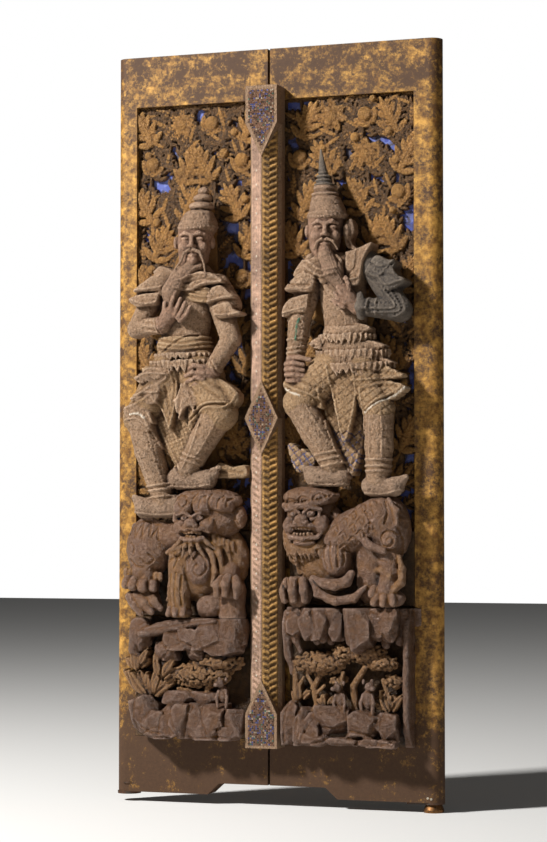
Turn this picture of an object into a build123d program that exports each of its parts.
from build123d import *
import os
from math import cos, sin, radians

os.makedirs("parts", exist_ok=True)

# Frame: x to the right from the meeting line, the front faces -Y, z up from the sill.
# Lengths are in millimetres and angles in degrees.

# The two leaves
leaf_height = 2400
leaf_thickness = 70
leaf_foot = 32
leaf_top = leaf_foot + leaf_height
left_axis_x = -495
right_axis_x = 535
axis_y = leaf_thickness / 2
heel_radius = leaf_thickness / 2
meeting_gap = 8

# The recess in the front of each leaf, inside a border of stiles and rails
left_heel_stile = 35
right_heel_stile = 50
meeting_stile = 42
top_rail = 165
left_bottom_rail = 181
right_bottom_rail = 171
recess_depth = 36
recess_top = leaf_top - top_rail

# Cut-out at the middle of the foot, over the stop block of a sill
notch_height = 36
left_notch_width = 165
right_notch_width = 185
notch_slope = 40

# Layers in the recess
glass_thickness = 4
foliage_thickness = 24
foliage_height = 1387
foliage_foot = recess_top - foliage_height
seat_y = recess_depth - glass_thickness - foliage_thickness
layer_gap = 0.2

# Openwork foliage
foliage_border = 9
stem_width = 10
leaf_length = 142
flower_radius = 52
bud_radius = 32
boss_height = 7
leaf_lean = 27
leaf_outline_shares = [(0.06, 0.0), (0.36, 0.26), (0.22, 0.42), (0.30, 0.68)]
flower_notch_share = 0.68
boss_share = 0.45
flower_points = 5
bud_points = 5

# Pivots
pin_radius = 14
pin_seat = 60
pin_clearance = 0.06
press_clearance = 0.02
thrust_gap = 0.3
shoe_radius = 32
shoe_rim_radius = 25
shoe_waist_share = 0.35
disc_radius = 38
disc_thickness = 8
sole_thickness = 6
sole_length = 80
sole_width = 54
sole_foot = leaf_foot - sole_thickness
shoe_height = sole_foot - thrust_gap
shoe_floor = 5
top_bore_radius = 15
top_bore_depth = 60

# Astragal, the ridged bar over the meeting line
astragal_x = 2
astragal_half_width = 53
astragal_height = 2108
astragal_foot = 192
astragal_shoulder = 30
astragal_facet_half_width = 46
astragal_facet_depth = 41
astragal_ridge = 76
astragal_block_depth = 80
lap_clearance = 1
top_block_height = 120
foot_block_height = 108
block_point = 108
lozenge_height = 238
lozenge_half_width = 56
lozenge_share = 0.495
mosaic_border = 9
mosaic_thickness = 3
mosaic_sunk = 2.4
mosaic_gap = 0.2

# Carved figures: every place and radius below is a share of this height
guardian_height = 1000
left_sole = 918
right_sole = 985
left_lion_foot = 600
right_lion_foot = 637

left_recess_x = (left_axis_x + left_heel_stile, -meeting_gap / 2 - meeting_stile)
right_recess_x = (meeting_gap / 2 + meeting_stile, right_axis_x - right_heel_stile)
left_recess_foot = leaf_foot + left_bottom_rail
right_recess_foot = leaf_foot + right_bottom_rail
left_middle_x = sum(left_recess_x) / 2
right_middle_x = sum(right_recess_x) / 2

section_sides = 8
limb_sides = 6
small_lump_share = 0.06
egg_profile_shares = [(-1, 0.45), (-0.45, 0.97), (0.45, 0.97), (1, 0.45)]
boulder_outline_shares = [
    (0.0, 0.3), (0.14, 0.0), (0.84, 0.0), (1.0, 0.22), (0.98, 0.7), (0.8, 1.0), (0.25, 1.0), (0.04, 0.78),
]
boulder_taper = 14
flat_limit = 0.001


# Shapes for carving. An origin is the (x, z) that a block's shares start from.
def spot(origin, x, depth, z):
    return Vector(
        origin[0] + x * guardian_height,
        -depth * guardian_height,
        origin[1] + z * guardian_height,
    )


def section(half_width, half_depth, sides):
    angles = [radians((step + 0.5) * 360 / sides) for step in range(sides)]
    width = half_width * guardian_height
    depth = half_depth * guardian_height
    return [(width * cos(angle), depth * sin(angle)) for angle in angles]


def is_flat(corners):
    """True if a ring of corners lies in one plane."""
    if len(corners) != 4:
        return True
    across = (corners[1] - corners[0]).cross(corners[2] - corners[0]).normalized()
    return abs(across.dot(corners[3] - corners[0])) < flat_limit


def flat_sided(part):
    """The same form with true flat sides, and a twisted side as two triangles."""
    sides = []
    for face in part.faces():
        corners = [edge.position_at(0) for edge in face.outer_wire().order_edges()]
        outlines = [corners] if is_flat(corners) else [corners[:3], [corners[0], corners[2], corners[3]]]
        sides += [Face(Wire.make_polygon(outline)) for outline in outlines]
    return Solid(Shell(sides))


def mass(origin, level_shares, sides=section_sides):
    """A body built up from level many-sided sections."""
    with BuildPart() as piece:
        for x, depth, z, half_width, half_depth in level_shares:
            with BuildSketch(Plane(origin=spot(origin, x, depth, z))):
                Polygon(*section(half_width, half_depth, sides), align=None)
        loft(ruled=True)
    return flat_sided(piece.part)


def egg(origin, egg_shares):
    """A rounded lump with half sizes in x, depth and z."""
    x, depth, z, half_width, half_depth, half_height = egg_shares
    levels = [
        (x, depth, z + rise * half_height, half_width * spread, half_depth * spread)
        for rise, spread in egg_profile_shares
    ]
    sides = section_sides if half_width > small_lump_share else limb_sides
    return mass(origin, levels, sides)


def limb(origin, joint_shares):
    """A chain of tapered six-sided lengths from joint to joint."""
    lengths = []
    for near, far in zip(joint_shares, joint_shares[1:]):
        start = spot(origin, *near[:3])
        end = spot(origin, *far[:3])
        with BuildPart() as length:
            for place, radius in ((start, near[3]), (end, far[3])):
                with BuildSketch(Plane(origin=place, z_dir=end - start)):
                    RegularPolygon(radius * guardian_height, limb_sides)
            loft(ruled=True)
        lengths.append(flat_sided(length.part))
    return lengths


def plate(origin, plate_shares):
    """A flap with an outline seen from the front, between two depths."""
    outline, back, front = plate_shares
    points = [
        (origin[0] + x * guardian_height, origin[1] + z * guardian_height) for x, z in outline
    ]
    with BuildPart() as piece:
        with BuildSketch(Plane.XZ.offset(back * guardian_height)):
            Polygon(*points, align=None)
        extrude(amount=(front - back) * guardian_height)
    return piece.part


def boulder(origin, boulder_shares):
    """A faceted rock that narrows towards the front."""
    left, right, foot, top, front = boulder_shares
    points = [
        (
            origin[0] + (left + x * (right - left)) * guardian_height,
            origin[1] + (foot + z * (top - foot)) * guardian_height,
        )
        for x, z in boulder_outline_shares
    ]
    with BuildPart() as piece:
        with BuildSketch(Plane.XZ):
            Polygon(*points, align=None)
        extrude(amount=front * guardian_height, taper=boulder_taper)
    return flat_sided(piece.part)


def carve(origin, masses=(), eggs=(), limbs=(), plates=(), boulders=()):
    """All the lumps of one block, ready to be joined."""
    pieces = [mass(origin, levels) for levels in masses]
    pieces += [egg(origin, sizes) for sizes in eggs]
    pieces += [plate(origin, sizes) for sizes in plates]
    pieces += [boulder(origin, sizes) for sizes in boulders]
    for joints in limbs:
        pieces += limb(origin, joints)
    return pieces


def finish_part(part, label):
    part.label = label
    export_step(part, f"parts/{label}.step")
    return part


# Leaf planks
def leaf_plank(axis_x, meeting_x, recess_x, recess_foot, notch_width):
    """A leaf: border, recess, round heel, cut foot and the two pivot bores."""
    inward = 1 if meeting_x > axis_x else -1
    with BuildPart() as plank:
        with BuildSketch(Plane.XY.offset(leaf_foot)):
            with Locations(((axis_x + meeting_x) / 2, axis_y)):
                Rectangle(abs(meeting_x - axis_x), leaf_thickness)
            with Locations((axis_x, axis_y)):
                Circle(heel_radius)
        extrude(amount=leaf_height)
        with BuildSketch(Plane.XZ):
            with Locations((sum(recess_x) / 2, (recess_foot + recess_top) / 2)):
                Rectangle(recess_x[1] - recess_x[0], recess_top - recess_foot)
        extrude(amount=-recess_depth, mode=Mode.SUBTRACT)
        with BuildSketch(Plane.XZ):
            Polygon(
                (meeting_x, leaf_foot),
                (meeting_x - inward * (notch_width + notch_slope), leaf_foot),
                (meeting_x - inward * notch_width, leaf_foot + notch_height),
                (meeting_x, leaf_foot + notch_height),
                align=None,
            )
        extrude(amount=-leaf_thickness, mode=Mode.SUBTRACT)
        with BuildSketch(Plane.XY.offset(leaf_foot)):
            with Locations((axis_x, axis_y)):
                Circle(pin_radius + press_clearance)
        extrude(amount=pin_seat, mode=Mode.SUBTRACT)
        with BuildSketch(Plane.XY.offset(leaf_top)):
            with Locations((axis_x, axis_y)):
                Circle(top_bore_radius)
        extrude(amount=-top_bore_depth, mode=Mode.SUBTRACT)
    return plank.part


def relief_points(origin, point_shares):
    return [
        (origin[0] + x * guardian_height, origin[1] + z * guardian_height) for x, z in point_shares
    ]


left_guardian_origin = (left_middle_x, left_sole)
right_guardian_origin = (right_middle_x, right_sole)
left_lion_origin = (left_middle_x, left_lion_foot)
right_lion_origin = (right_middle_x, right_lion_foot)
left_rock_origin = (left_middle_x, left_recess_foot)
right_rock_origin = (right_middle_x, right_recess_foot)

left_meeting_x = -meeting_gap / 2
right_meeting_x = meeting_gap / 2
left_plank = leaf_plank(left_axis_x, left_meeting_x, left_recess_x, left_recess_foot, left_notch_width)
right_plank = leaf_plank(right_axis_x, right_meeting_x, right_recess_x, right_recess_foot, right_notch_width)
finish_part(left_plank, "left_leaf_plank")
finish_part(right_plank, "right_leaf_plank")


# Glass sheets on the floor of each recess
def ground_sheet(recess_x):
    with BuildPart() as sheet:
        with BuildSketch(Plane.XZ.offset(-recess_depth)):
            with Locations((sum(recess_x) / 2, (foliage_foot + recess_top) / 2)):
                Rectangle(recess_x[1] - recess_x[0] - 2 * layer_gap, foliage_height - 2 * layer_gap)
        extrude(amount=glass_thickness)
    return sheet.part


finish_part(ground_sheet(left_recess_x), "left_glass_ground")
finish_part(ground_sheet(right_recess_x), "right_glass_ground")

# Foliage plans, top row first: L and R are leaves that lean, F a flower, B a bud.
# Cells behind a figure are left as solid board.
left_foliage_plan = [
    "LFBR", "BRLB", "LR.L", "RB.R", "L..B", "R..L",
    "L..R", "R...", "...L", "L...", "....",
]
right_foliage_plan = [
    "RFBL", "BLFR", "R.LB", "L.RL", "R..R", "L...",
    "R..L", "....", "L..R", "...L", "..L.",
]
left_board_shares = [
    (-0.022, 0.96), (0.068, 0.96), (0.073, 0.78), (0.113, 0.70), (0.073, 0.58), (0.088, 0.48),
    (0.123, 0.37), (0.073, 0.18), (0.023, 0.12), (-0.077, 0.12), (-0.147, 0.33), (-0.117, 0.48),
    (-0.077, 0.58), (-0.137, 0.62), (-0.117, 0.77), (-0.027, 0.82),
]
right_board_shares = [
    (-0.100, 0.91), (-0.005, 0.91), (-0.010, 0.75), (0.065, 0.71), (0.155, 0.65), (0.175, 0.59),
    (0.085, 0.57), (0.065, 0.51), (0.145, 0.41), (0.155, 0.31), (0.135, 0.07), (0.035, 0.09),
    (-0.065, 0.08), (-0.135, 0.29), (-0.065, 0.43), (-0.055, 0.53), (-0.125, 0.57), (-0.115, 0.70),
    (-0.075, 0.77),
]
leaf_half = [(side * leaf_length, rise * leaf_length) for side, rise in leaf_outline_shares]
leaf_points = leaf_half + [(0, leaf_length)] + [(-side, rise) for side, rise in reversed(leaf_half)]


def star_points(radius, points):
    """A ring of petals with notches between them."""
    ring = []
    for step in range(2 * points):
        reach = radius if step % 2 == 0 else radius * flower_notch_share
        turn = radians(step * 180 / points)
        ring.append((reach * sin(turn), reach * cos(turn)))
    return ring


def foliage_cells(recess_x, plan):
    """The letter, x, z and lean of every carved cell."""
    pitch_x = (recess_x[1] - recess_x[0]) / len(plan[0])
    pitch_z = foliage_height / len(plan)
    cells = []
    for row, letters in enumerate(plan):
        for column, letter in enumerate(letters):
            if letter != ".":
                x = recess_x[0] + (column + 0.5) * pitch_x
                z = recess_top - (row + 0.5) * pitch_z
                cells.append((letter, x, z))
    return cells


def foliage_board(recess_x, plan, board):
    """The openwork panel: edge strip, stems, board behind the figure, leaves and flowers."""
    middle = (sum(recess_x) / 2, (foliage_foot + recess_top) / 2)
    width = recess_x[1] - recess_x[0] - 2 * layer_gap
    height = foliage_height - 2 * layer_gap
    pitch_x = (recess_x[1] - recess_x[0]) / len(plan[0])
    stems = [(recess_x[0] + (column + 0.5) * pitch_x, middle[1]) for column in range(len(plan[0]))]
    cells = foliage_cells(recess_x, plan)
    leans = {"L": leaf_lean, "R": -leaf_lean}
    with BuildPart() as panel:
        with BuildSketch(Plane.XZ.offset(-seat_y - foliage_thickness)):
            with Locations(middle):
                Rectangle(width, height)
                Rectangle(width - 2 * foliage_border, height - 2 * foliage_border, mode=Mode.SUBTRACT)
            with Locations(*stems):
                Rectangle(stem_width, height)
            Polygon(*board, align=None)
            for letter, x, z in cells:
                if letter in leans:
                    with Locations(Location((x, z - leaf_length / 2, 0), (0, 0, leans[letter]))):
                        Polygon(*leaf_points, align=None)
                else:
                    with Locations((x, z)):
                        if letter == "F":
                            Polygon(*star_points(flower_radius, flower_points), align=None)
                        else:
                            RegularPolygon(bud_radius, bud_points)
            with Locations(middle):
                Rectangle(width, height, mode=Mode.INTERSECT)
        extrude(amount=foliage_thickness)
        with BuildSketch(Plane.XZ.offset(-seat_y)):
            for letter, x, z in cells:
                if letter == "F":
                    with Locations((x, z)):
                        RegularPolygon(flower_radius * boss_share, bud_points)
                elif letter == "B":
                    with Locations((x, z)):
                        RegularPolygon(bud_radius * (1 - boss_share / 2), bud_points)
        extrude(amount=boss_height)
    return panel.part


left_board = relief_points(left_guardian_origin, left_board_shares)
right_board = relief_points(right_guardian_origin, right_board_shares)
finish_part(foliage_board(left_recess_x, left_foliage_plan, left_board), "left_foliage_panel")
finish_part(foliage_board(right_recess_x, right_foliage_plan, right_board), "right_foliage_panel")

# Guardian of the left leaf. Rows are x, depth, z and radii, as shares of guardian_height
# from the middle of the recess, the leaf face and the sole.
left_guardian_mass_shares = [
    # body from hips to neck
    [
        (-0.022, 0.040, 0.482, 0.098, 0.062), (-0.019, 0.040, 0.587, 0.080, 0.056),
        (-0.010, 0.040, 0.722, 0.092, 0.058), (-0.012, 0.038, 0.775, 0.104, 0.048),
        (0.010, 0.040, 0.815, 0.050, 0.040),
    ],
    # sash
    [(-0.019, 0.040, 0.530, 0.090, 0.064), (-0.019, 0.040, 0.557, 0.096, 0.070),
      (-0.019, 0.040, 0.584, 0.088, 0.064)],
    # hip tier
    [(-0.019, 0.040, 0.486, 0.114, 0.080), (-0.019, 0.040, 0.532, 0.092, 0.066)],
    # head
    [
        (0.016, 0.070, 0.795, 0.028, 0.030), (0.018, 0.062, 0.828, 0.047, 0.046),
        (0.020, 0.056, 0.885, 0.056, 0.056), (0.024, 0.050, 0.934, 0.060, 0.058),
    ],
    # cap and topknot
    [
        (0.026, 0.050, 0.927, 0.062, 0.060), (0.028, 0.050, 0.952, 0.066, 0.062),
        (0.033, 0.048, 0.984, 0.048, 0.046), (0.040, 0.046, 1.012, 0.047, 0.046),
        (0.042, 0.046, 1.018, 0.034, 0.034), (0.045, 0.046, 1.040, 0.034, 0.034),
        (0.048, 0.046, 1.068, 0.010, 0.010),
    ],
]
left_guardian_limb_shares = [
    # beard
    [(0.012, 0.096, 0.822, 0.036), (-0.044, 0.100, 0.730, 0.032), (-0.045, 0.098, 0.660, 0.018)],
    # arm to the beard, with its hand
    [(-0.122, 0.042, 0.758, 0.042), (-0.176, 0.060, 0.615, 0.035), (-0.074, 0.094, 0.622, 0.026)],
    [(-0.078, 0.094, 0.620, 0.027), (-0.034, 0.104, 0.682, 0.031), (-0.026, 0.104, 0.728, 0.016)],
    # arm to the hip, with its hand
    [(0.092, 0.045, 0.730, 0.044), (0.146, 0.070, 0.570, 0.037), (0.092, 0.098, 0.468, 0.028)],
    [(0.094, 0.098, 0.468, 0.029), (0.030, 0.108, 0.462, 0.033), (-0.006, 0.108, 0.482, 0.016)],
    # flared shoulder guards
    [(-0.125, 0.045, 0.780, 0.036), (-0.156, 0.052, 0.708, 0.050)],
    [(0.100, 0.048, 0.750, 0.036), (0.136, 0.060, 0.672, 0.052)],
    # legs
    [(-0.055, 0.050, 0.480, 0.074), (-0.166, 0.078, 0.322, 0.050)],
    [(-0.160, 0.078, 0.330, 0.047), (-0.080, 0.062, 0.045, 0.037)],
    [(0.030, 0.052, 0.470, 0.076), (0.124, 0.090, 0.332, 0.055)],
    [(0.114, 0.090, 0.330, 0.051), (0.008, 0.076, 0.160, 0.039)],
    # boots
    [(-0.044, 0.058, 0.038, 0.037), (-0.148, 0.066, 0.034, 0.033), (-0.182, 0.070, 0.068, 0.010)],
    [(-0.034, 0.062, 0.128, 0.036), (0.072, 0.076, 0.124, 0.031), (0.112, 0.082, 0.160, 0.010)],
]
left_guardian_plate_shares = [
    # collar
    ([(-0.050, 0.785), (0.038, 0.806), (0.102, 0.784), (0.132, 0.754), (0.088, 0.732),
      (0.020, 0.736)], 0.040, 0.100),
    ([(-0.132, 0.802), (-0.082, 0.828), (-0.036, 0.784), (-0.066, 0.720), (-0.112, 0.732)], 0.040, 0.094),
    # apron, side flaps and drape between the knees
    (
        [(-0.146, 0.484), (-0.036, 0.488), (-0.022, 0.410), (-0.032, 0.330), (-0.047, 0.280),
          (-0.077, 0.350),
         (-0.126, 0.410)],
        0.060, 0.104,
    ),
    ([(-0.142, 0.492), (-0.077, 0.482), (-0.097, 0.400), (-0.192, 0.346), (-0.202, 0.360),
      (-0.176, 0.405)], 0.030, 0.080),
    ([(0.023, 0.482), (0.093, 0.462), (0.180, 0.394), (0.158, 0.344), (0.073, 0.344),
      (0.018, 0.282)], 0.050, 0.104),
    ([(-0.130, 0.382), (0.083, 0.372), (0.043, 0.232), (-0.012, 0.136), (-0.047, 0.202),
      (-0.100, 0.290)], 0.0, 0.066),
    # ribbon end
    ([(0.060, 0.130), (0.190, 0.130), (0.194, 0.168), (0.150, 0.164), (0.104, 0.176)], 0.0, 0.062),
]

# Guardian of the right leaf
right_guardian_mass_shares = [
    [
        (0.026, 0.040, 0.415, 0.100, 0.062), (0.010, 0.040, 0.525, 0.068, 0.055),
        (-0.006, 0.040, 0.665, 0.078, 0.057), (-0.014, 0.038, 0.730, 0.098, 0.048),
        (-0.040, 0.040, 0.770, 0.050, 0.040),
    ],
    [(0.016, 0.040, 0.470, 0.088, 0.064), (0.018, 0.040, 0.505, 0.090, 0.070),
      (0.018, 0.040, 0.535, 0.078, 0.062)],
    [(0.036, 0.040, 0.448, 0.122, 0.078), (0.024, 0.040, 0.490, 0.092, 0.066)],
    [(0.038, 0.040, 0.405, 0.136, 0.084), (0.030, 0.040, 0.452, 0.106, 0.072)],
    [
        (-0.054, 0.070, 0.750, 0.028, 0.030), (-0.056, 0.062, 0.782, 0.046, 0.046),
        (-0.056, 0.056, 0.835, 0.055, 0.056), (-0.054, 0.050, 0.884, 0.058, 0.058),
    ],
    [
        (-0.050, 0.050, 0.878, 0.062, 0.060), (-0.050, 0.050, 0.905, 0.066, 0.062),
        (-0.056, 0.048, 0.952, 0.048, 0.046), (-0.060, 0.046, 0.968, 0.036, 0.036),
        (-0.062, 0.046, 0.986, 0.036, 0.036),
    ],
]
right_guardian_limb_shares = [
    # beard
    [(-0.042, 0.098, 0.770, 0.040), (-0.004, 0.102, 0.705, 0.034), (0.016, 0.100, 0.650, 0.022)],
    # arm with the lowered fist
    [(-0.098, 0.045, 0.705, 0.042), (-0.138, 0.070, 0.560, 0.036), (-0.143, 0.086, 0.435, 0.029)],
    [(-0.145, 0.088, 0.425, 0.034), (-0.135, 0.092, 0.382, 0.036)],
    [(-0.094, 0.048, 0.742, 0.034), (-0.124, 0.056, 0.660, 0.050)],
    # hand at the beard
    [(0.062, 0.096, 0.592, 0.026), (0.020, 0.104, 0.640, 0.028), (0.004, 0.102, 0.680, 0.013)],
    # legs
    [(-0.030, 0.052, 0.400, 0.072), (-0.134, 0.088, 0.296, 0.050)],
    [(-0.128, 0.088, 0.288, 0.048), (-0.026, 0.074, 0.105, 0.040)],
    [(0.070, 0.050, 0.400, 0.074), (0.126, 0.072, 0.275, 0.050)],
    [(0.126, 0.072, 0.275, 0.046), (0.120, 0.062, 0.055, 0.040)],
    # boots
    [(-0.002, 0.064, 0.066, 0.035), (-0.086, 0.076, 0.064, 0.031), (-0.116, 0.080, 0.092, 0.012)],
    [(0.098, 0.058, 0.034, 0.034), (0.174, 0.068, 0.031, 0.030), (0.212, 0.072, 0.060, 0.010)],
]
right_guardian_plate_shares = [
    # collar and the shoulder piece with a point
    ([(-0.115, 0.740), (-0.045, 0.772), (0.010, 0.745), (0.000, 0.690), (-0.060, 0.672)], 0.040, 0.096),
    ([(0.020, 0.768), (0.065, 0.780), (0.105, 0.792), (0.080, 0.735), (0.065, 0.668),
      (0.028, 0.672)], 0.010, 0.086),
    # apron, hip flare, knee flap and the leaf-shaped drape
    ([(-0.036, 0.420), (0.056, 0.420), (0.064, 0.315), (0.024, 0.165), (-0.011, 0.275)], 0.060, 0.104),
    (
        [(0.114, 0.425), (0.174, 0.423), (0.206, 0.377), (0.220, 0.342), (0.134, 0.305), (0.080, 0.265),
         (0.064, 0.395)],
        0.040, 0.090,
    ),
    ([(-0.086, 0.415), (-0.146, 0.385), (-0.182, 0.350), (-0.156, 0.325), (-0.066, 0.305)], 0.050, 0.100),
    ([(-0.066, 0.345), (0.080, 0.345), (0.084, 0.215), (0.039, 0.065), (-0.006, 0.135),
      (-0.051, 0.245)], 0.0, 0.066),
    # cloth end beside the boot
    ([(-0.096, 0.085), (-0.146, 0.077), (-0.170, 0.115), (-0.180, 0.170), (-0.136, 0.155),
      (-0.090, 0.125)], 0.0, 0.060),
]
spire_tenon_side = 14
spire_tenon_length = 22
spire_tenon_gap = 0.1
spire_mass_shares = [
    (-0.062, 0.046, 0.986, 0.030, 0.030), (-0.063, 0.046, 0.996, 0.031, 0.031),
    (-0.064, 0.046, 1.000, 0.020, 0.020),
    (-0.065, 0.046, 1.016, 0.022, 0.022), (-0.066, 0.046, 1.022, 0.013, 0.013),
    (-0.074, 0.046, 1.105, 0.003, 0.003),
]
grey_arm_limb_shares = [
    [(0.084, 0.046, 0.738, 0.040), (0.194, 0.062, 0.582, 0.037), (0.072, 0.092, 0.594, 0.027)],
    [(0.110, 0.050, 0.716, 0.040), (0.160, 0.056, 0.666, 0.052)],
]
spire_seat = spot(right_guardian_origin, *spire_mass_shares[0][:3])

# Slabs that the stiles fill, where no carving may enter the leaf
side_slab_width = 60
side_slab_height = leaf_height


def stile_slabs(recess_x):
    with BuildPart() as slabs:
        with BuildSketch(Plane.XZ):
            with Locations(
                (recess_x[0] - side_slab_width / 2, leaf_foot + leaf_height / 2),
                (recess_x[1] + side_slab_width / 2, leaf_foot + leaf_height / 2),
            ):
                Rectangle(side_slab_width, side_slab_height)
        extrude(amount=-leaf_thickness)
    return slabs.part


left_slabs = stile_slabs(left_recess_x)
right_slabs = stile_slabs(right_recess_x)
seat_plane = Plane.XZ.offset(-seat_y)

left_guardian_pieces = carve(
    left_guardian_origin,
    masses=left_guardian_mass_shares,
    limbs=left_guardian_limb_shares,
    plates=left_guardian_plate_shares,
)
right_guardian_pieces = carve(
    right_guardian_origin,
    masses=right_guardian_mass_shares,
    limbs=right_guardian_limb_shares,
    plates=right_guardian_plate_shares,
)

with BuildPart() as left_guardian:
    add(left_guardian_pieces)
    split(bisect_by=seat_plane, keep=Keep.TOP)
    add(left_slabs, mode=Mode.SUBTRACT)
finish_part(left_guardian.part, "left_guardian")

with BuildPart() as right_guardian:
    add(right_guardian_pieces)
    split(bisect_by=seat_plane, keep=Keep.TOP)
    add(right_slabs, mode=Mode.SUBTRACT)
    with BuildSketch(Plane(origin=spire_seat)):
        Rectangle(spire_tenon_side + 2 * spire_tenon_gap, spire_tenon_side + 2 * spire_tenon_gap)
    extrude(amount=-spire_tenon_length - spire_tenon_gap, mode=Mode.SUBTRACT)
finish_part(right_guardian.part, "right_guardian")

with BuildPart() as right_guardian_spire:
    add(mass(right_guardian_origin, spire_mass_shares))
    with BuildSketch(Plane(origin=spire_seat)):
        Rectangle(spire_tenon_side, spire_tenon_side)
    extrude(amount=-spire_tenon_length)
finish_part(right_guardian_spire.part, "right_guardian_spire")

grey_arm_pieces = carve(right_guardian_origin, limbs=grey_arm_limb_shares)

with BuildPart() as right_guardian_arm:
    add(grey_arm_pieces)
    split(bisect_by=Plane.XZ, keep=Keep.TOP)
    add(right_guardian.part, mode=Mode.SUBTRACT)
finish_part(right_guardian_arm.part, "right_guardian_arm")

# Lions under the guardians: eggs are x, depth, z and half sizes from the lion's foot
left_lion_egg_shares = [
    # haunch, chest and shoulder
    (-0.137, 0.036, 0.220, 0.068, 0.066, 0.095), (0.028, 0.034, 0.170, 0.108, 0.070, 0.120),
    (0.048, 0.070, 0.165, 0.052, 0.038, 0.054), (0.128, 0.022, 0.185, 0.066, 0.046, 0.100),
    # head, muzzle, brow and ear
    (0.075, 0.044, 0.325, 0.108, 0.068, 0.090), (0.031, 0.090, 0.285, 0.048, 0.034, 0.042),
    (0.026, 0.082, 0.355, 0.064, 0.032, 0.028), (0.169, 0.052, 0.315, 0.024, 0.030, 0.032),
    # paws
    (-0.032, 0.074, 0.026, 0.046, 0.036, 0.028), (0.152, 0.084, 0.090, 0.042, 0.032, 0.036),
    (0.073, 0.076, 0.036, 0.036, 0.030, 0.034), (-0.160, 0.064, 0.100, 0.044, 0.040, 0.032),
    (-0.147, 0.072, 0.036, 0.050, 0.036, 0.032),
]
left_lion_limb_shares = [
    [(-0.032, 0.060, 0.150, 0.044), (-0.032, 0.070, 0.030, 0.036)],
    [(0.140, 0.056, 0.150, 0.036), (0.153, 0.078, 0.080, 0.034)],
    [(-0.100, 0.040, 0.260, 0.046), (0.000, 0.040, 0.260, 0.050)],
    [(-0.150, 0.050, 0.160, 0.046), (-0.150, 0.060, 0.040, 0.040)],
    [(0.140, 0.030, 0.100, 0.040), (0.060, 0.040, 0.030, 0.036)],
]
right_lion_egg_shares = [
    # head, muzzle, brow, ear and beard
    (-0.105, 0.044, 0.290, 0.080, 0.068, 0.094), (-0.128, 0.090, 0.248, 0.046, 0.034, 0.046),
    (-0.118, 0.082, 0.330, 0.056, 0.032, 0.030), (-0.028, 0.052, 0.285, 0.022, 0.028, 0.030),
    (-0.110, 0.070, 0.180, 0.062, 0.040, 0.034),
    # rump, knee, chest and paws
    (0.150, 0.036, 0.255, 0.068, 0.066, 0.095), (-0.028, 0.060, 0.150, 0.052, 0.050, 0.068),
    (-0.060, 0.034, 0.140, 0.100, 0.060, 0.100), (-0.142, 0.070, 0.060, 0.046, 0.040, 0.056),
    (0.154, 0.070, 0.026, 0.052, 0.036, 0.026),
]
right_lion_limb_shares = [
    [(-0.010, 0.040, 0.220, 0.070), (0.130, 0.040, 0.280, 0.074)],
    [(-0.100, 0.066, 0.090, 0.028), (-0.016, 0.076, 0.040, 0.030), (0.066, 0.070, 0.066, 0.024)],
    [(0.150, 0.048, 0.210, 0.044), (0.184, 0.066, 0.090, 0.032), (0.160, 0.070, 0.030, 0.032)],
    [(0.090, 0.030, 0.200, 0.060), (0.090, 0.030, 0.060, 0.050)],
]
lion_backing_top = foliage_foot - layer_gap


def backing(recess_x, foot, top, front_y):
    """The plain board at the back of a carved block, down to the floor of the recess."""
    with BuildPart() as board:
        with BuildSketch(Plane.XZ.offset(-recess_depth)):
            with Locations((sum(recess_x) / 2, (foot + top) / 2)):
                Rectangle(recess_x[1] - recess_x[0] - 2 * layer_gap, top - foot)
        extrude(amount=recess_depth - front_y)
    return board.part


left_lion_pieces = carve(left_lion_origin, eggs=left_lion_egg_shares, limbs=left_lion_limb_shares)
right_lion_pieces = carve(right_lion_origin, eggs=right_lion_egg_shares, limbs=right_lion_limb_shares)
left_lion_board = backing(left_recess_x, left_lion_foot, lion_backing_top, 0)
right_lion_board = backing(right_recess_x, right_lion_foot, lion_backing_top, 0)

with BuildPart() as left_lion:
    add(left_lion_pieces)
    split(bisect_by=seat_plane, keep=Keep.TOP)
    split(bisect_by=Plane.XY.offset(left_lion_foot), keep=Keep.TOP)
    add(left_slabs, mode=Mode.SUBTRACT)
    add(left_lion_board)
    add(left_guardian.part, mode=Mode.SUBTRACT)
finish_part(left_lion.part, "left_lion")

with BuildPart() as right_lion:
    add(right_lion_pieces)
    split(bisect_by=seat_plane, keep=Keep.TOP)
    split(bisect_by=Plane.XY.offset(right_lion_foot), keep=Keep.TOP)
    add(right_slabs, mode=Mode.SUBTRACT)
    add(right_lion_board)
    add(right_guardian.part, mode=Mode.SUBTRACT)
finish_part(right_lion.part, "right_lion")

# Rockwork: boulders are left, right, foot, top and depth from the foot of the recess
left_boulder_shares = [
    (-0.204, -0.115, 0.270, 0.386, 0.070), (-0.130, -0.035, 0.245, 0.386, 0.096),
    (-0.045, 0.055, 0.255, 0.386, 0.104), (0.040, 0.125, 0.240, 0.386, 0.100),
    (0.112, 0.190, 0.260, 0.386, 0.086),
    (-0.196, -0.085, 0.002, 0.130, 0.088), (-0.098, 0.012, 0.0, 0.116, 0.104),
    (-0.002, 0.104, 0.0, 0.126, 0.108), (0.090, 0.184, 0.002, 0.116, 0.096),
    (-0.190, -0.150, 0.120, 0.240, 0.050), (-0.146, -0.076, 0.112, 0.285, 0.060),
]
left_rock_egg_shares = [(0.066, 0.046, 0.226, 0.112, 0.044, 0.048),
  (0.122, 0.030, 0.138, 0.028, 0.036, 0.032)]
left_rock_limb_shares = [[(0.066, 0.040, 0.190, 0.012), (0.062, 0.040, 0.110, 0.015)]]
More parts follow.
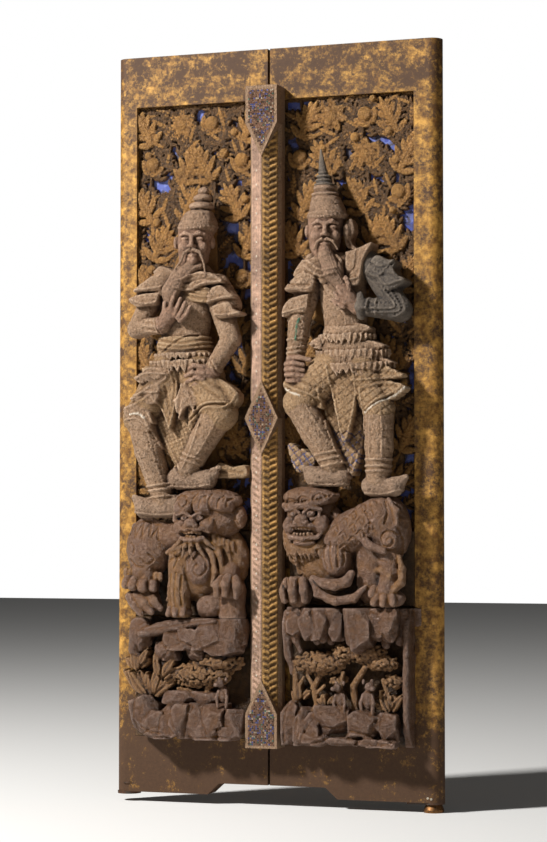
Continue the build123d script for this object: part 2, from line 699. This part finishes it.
right_boulder_shares = [
    (-0.190, -0.112, 0.266, 0.433, 0.084), (-0.124, -0.034, 0.286, 0.433, 0.098),
    (-0.044, 0.032, 0.296, 0.433, 0.080), (0.014, 0.108, 0.300, 0.433, 0.104),
    (0.098, 0.204, 0.290, 0.433, 0.098),
    (-0.188, -0.086, 0.002, 0.098, 0.090), (-0.100, 0.010, 0.0, 0.108, 0.106),
    (-0.004, 0.104, 0.002, 0.098, 0.104), (0.090, 0.190, 0.0, 0.106, 0.094),
    (0.176, 0.216, 0.002, 0.200, 0.046), (-0.184, -0.140, 0.090, 0.260, 0.040),
]
right_rock_egg_shares = [
    (-0.076, 0.046, 0.258, 0.084, 0.044, 0.044), (0.094, 0.048, 0.276, 0.084, 0.044, 0.040),
    (-0.006, 0.030, 0.130, 0.022, 0.036, 0.034), (0.080, 0.034, 0.150, 0.026, 0.040, 0.040),
]
right_rock_limb_shares = [
    [(-0.080, 0.040, 0.220, 0.012), (-0.104, 0.040, 0.090, 0.016)],
    [(0.070, 0.040, 0.240, 0.012), (0.036, 0.040, 0.090, 0.016)],
]
left_rock_pieces = carve(
    left_rock_origin,
    eggs=left_rock_egg_shares,
    limbs=left_rock_limb_shares,
    boulders=left_boulder_shares,
)
right_rock_pieces = carve(
    right_rock_origin,
    eggs=right_rock_egg_shares,
    limbs=right_rock_limb_shares,
    boulders=right_boulder_shares,
)
left_rock_board = backing(left_recess_x, left_recess_foot, left_lion_foot, 0)
right_rock_board = backing(right_recess_x, right_recess_foot, right_lion_foot, 0)

with BuildPart() as left_rockwork:
    add(left_rock_pieces)
    split(bisect_by=Plane.XZ, keep=Keep.TOP)
    split(bisect_by=Plane.XY.offset(left_lion_foot), keep=Keep.BOTTOM)
    add(left_rock_board)
finish_part(left_rockwork.part, "left_rockwork")

with BuildPart() as right_rockwork:
    add(right_rock_pieces)
    split(bisect_by=Plane.XZ, keep=Keep.TOP)
    split(bisect_by=Plane.XY.offset(right_lion_foot), keep=Keep.BOTTOM)
    add(right_rock_board)
finish_part(right_rockwork.part, "right_rockwork")

# Astragal
astragal_section = [
    (astragal_x - astragal_half_width, 0),
    (astragal_x + astragal_half_width, 0),
    (astragal_x + astragal_half_width, -astragal_shoulder),
    (astragal_x + astragal_facet_half_width, -astragal_facet_depth),
    (astragal_x, -astragal_ridge),
    (astragal_x - astragal_facet_half_width, -astragal_facet_depth),
    (astragal_x - astragal_half_width, -astragal_shoulder),
]
astragal_top = astragal_foot + astragal_height
lozenge_z = astragal_foot + astragal_height * lozenge_share
block_left = astragal_x - astragal_half_width
block_right = astragal_x + astragal_half_width
top_outline = [
    (block_left, astragal_top),
    (block_left, astragal_top - top_block_height),
    (astragal_x, astragal_top - top_block_height - block_point),
    (block_right, astragal_top - top_block_height),
    (block_right, astragal_top),
]
foot_outline = [
    (block_left, astragal_foot),
    (block_right, astragal_foot),
    (block_right, astragal_foot + foot_block_height),
    (astragal_x, astragal_foot + foot_block_height + block_point),
    (block_left, astragal_foot + foot_block_height),
]
lozenge_outline = [
    (astragal_x, lozenge_z - lozenge_height / 2),
    (astragal_x + lozenge_half_width, lozenge_z),
    (astragal_x, lozenge_z + lozenge_height / 2),
    (astragal_x - lozenge_half_width, lozenge_z),
]
block_outlines = [top_outline, foot_outline, lozenge_outline]
block_front = Plane.XZ.offset(astragal_block_depth)

with BuildPart() as astragal:
    with BuildSketch(Plane.XY.offset(astragal_foot)):
        Polygon(*astragal_section, align=None)
    extrude(amount=astragal_height)
    for outline in block_outlines:
        with BuildSketch(Plane.XZ.offset(astragal_shoulder)):
            Polygon(*outline, align=None)
        extrude(amount=astragal_block_depth - astragal_shoulder)
    for outline in block_outlines:
        with BuildSketch(block_front):
            Polygon(*outline, align=None)
            offset(amount=-mosaic_border, kind=Kind.INTERSECTION, mode=Mode.REPLACE)
        extrude(amount=-mosaic_sunk, mode=Mode.SUBTRACT)
    with BuildSketch(Plane.XZ):
        with Locations((block_right - meeting_gap / 2, leaf_foot + leaf_height / 2)):
            Rectangle(2 * (block_right - astragal_x), leaf_height)
    extrude(amount=lap_clearance, mode=Mode.SUBTRACT)
finish_part(astragal.part, "astragal")


def mosaic(outline):
    """A glass plaque that drops into the sunk face of a block."""
    with BuildPart() as plaque:
        with BuildSketch(block_front.offset(-mosaic_sunk)):
            Polygon(*outline, align=None)
            offset(amount=-mosaic_border - mosaic_gap, kind=Kind.INTERSECTION, mode=Mode.REPLACE)
        extrude(amount=mosaic_thickness)
    return plaque.part


astragal_top_mosaic = finish_part(mosaic(top_outline), "astragal_top_mosaic")
astragal_lozenge_mosaic = finish_part(mosaic(lozenge_outline), "astragal_lozenge_mosaic")
astragal_foot_mosaic = finish_part(mosaic(foot_outline), "astragal_foot_mosaic")

# Pivots: pins in the heels, a sole plate and a shoe on the right, a disc on the left
shoe_profile = [
    (0, 0),
    (shoe_radius, 0),
    (shoe_radius, shoe_height * shoe_waist_share),
    (shoe_rim_radius, shoe_height),
    (0, shoe_height),
]
left_pin_foot = leaf_foot - thrust_gap - disc_thickness
right_pin_foot = shoe_floor + thrust_gap

with BuildPart() as right_pivot_shoe:
    with BuildSketch(Plane(origin=(right_axis_x, axis_y, 0), x_dir=(1, 0, 0), z_dir=(0, -1, 0))):
        Polygon(*shoe_profile, align=None)
    revolve(axis=Axis((right_axis_x, axis_y, 0), (0, 0, 1)))
    with BuildSketch(Plane.XY.offset(shoe_height)):
        with Locations((right_axis_x, axis_y)):
            Circle(pin_radius + pin_clearance)
    extrude(amount=shoe_floor - shoe_height, mode=Mode.SUBTRACT)
finish_part(right_pivot_shoe.part, "right_pivot_shoe")

with BuildPart() as left_pivot_disc:
    with BuildSketch(Plane.XY.offset(left_pin_foot)):
        with Locations((left_axis_x, axis_y)):
            Circle(disc_radius)
            Circle(pin_radius + pin_clearance, mode=Mode.SUBTRACT)
    extrude(amount=disc_thickness)
finish_part(left_pivot_disc.part, "left_pivot_disc")

with BuildPart() as right_sole_plate:
    with BuildSketch(Plane.XY.offset(sole_foot)):
        with Locations((right_axis_x - sole_length / 2, axis_y)):
            Rectangle(sole_length, sole_width)
        with Locations((right_axis_x, axis_y)):
            Circle(heel_radius)
            Circle(pin_radius + press_clearance, mode=Mode.SUBTRACT)
    extrude(amount=sole_thickness)
finish_part(right_sole_plate.part, "right_sole_plate")

with BuildPart() as left_pivot_pin:
    with BuildSketch(Plane.XY.offset(left_pin_foot)):
        with Locations((left_axis_x, axis_y)):
            Circle(pin_radius)
    extrude(amount=leaf_foot + pin_seat - left_pin_foot)
finish_part(left_pivot_pin.part, "left_pivot_pin")

with BuildPart() as right_pivot_pin:
    with BuildSketch(Plane.XY.offset(right_pin_foot)):
        with Locations((right_axis_x, axis_y)):
            Circle(pin_radius)
    extrude(amount=leaf_foot + pin_seat - right_pin_foot)
finish_part(right_pivot_pin.part, "right_pivot_pin")
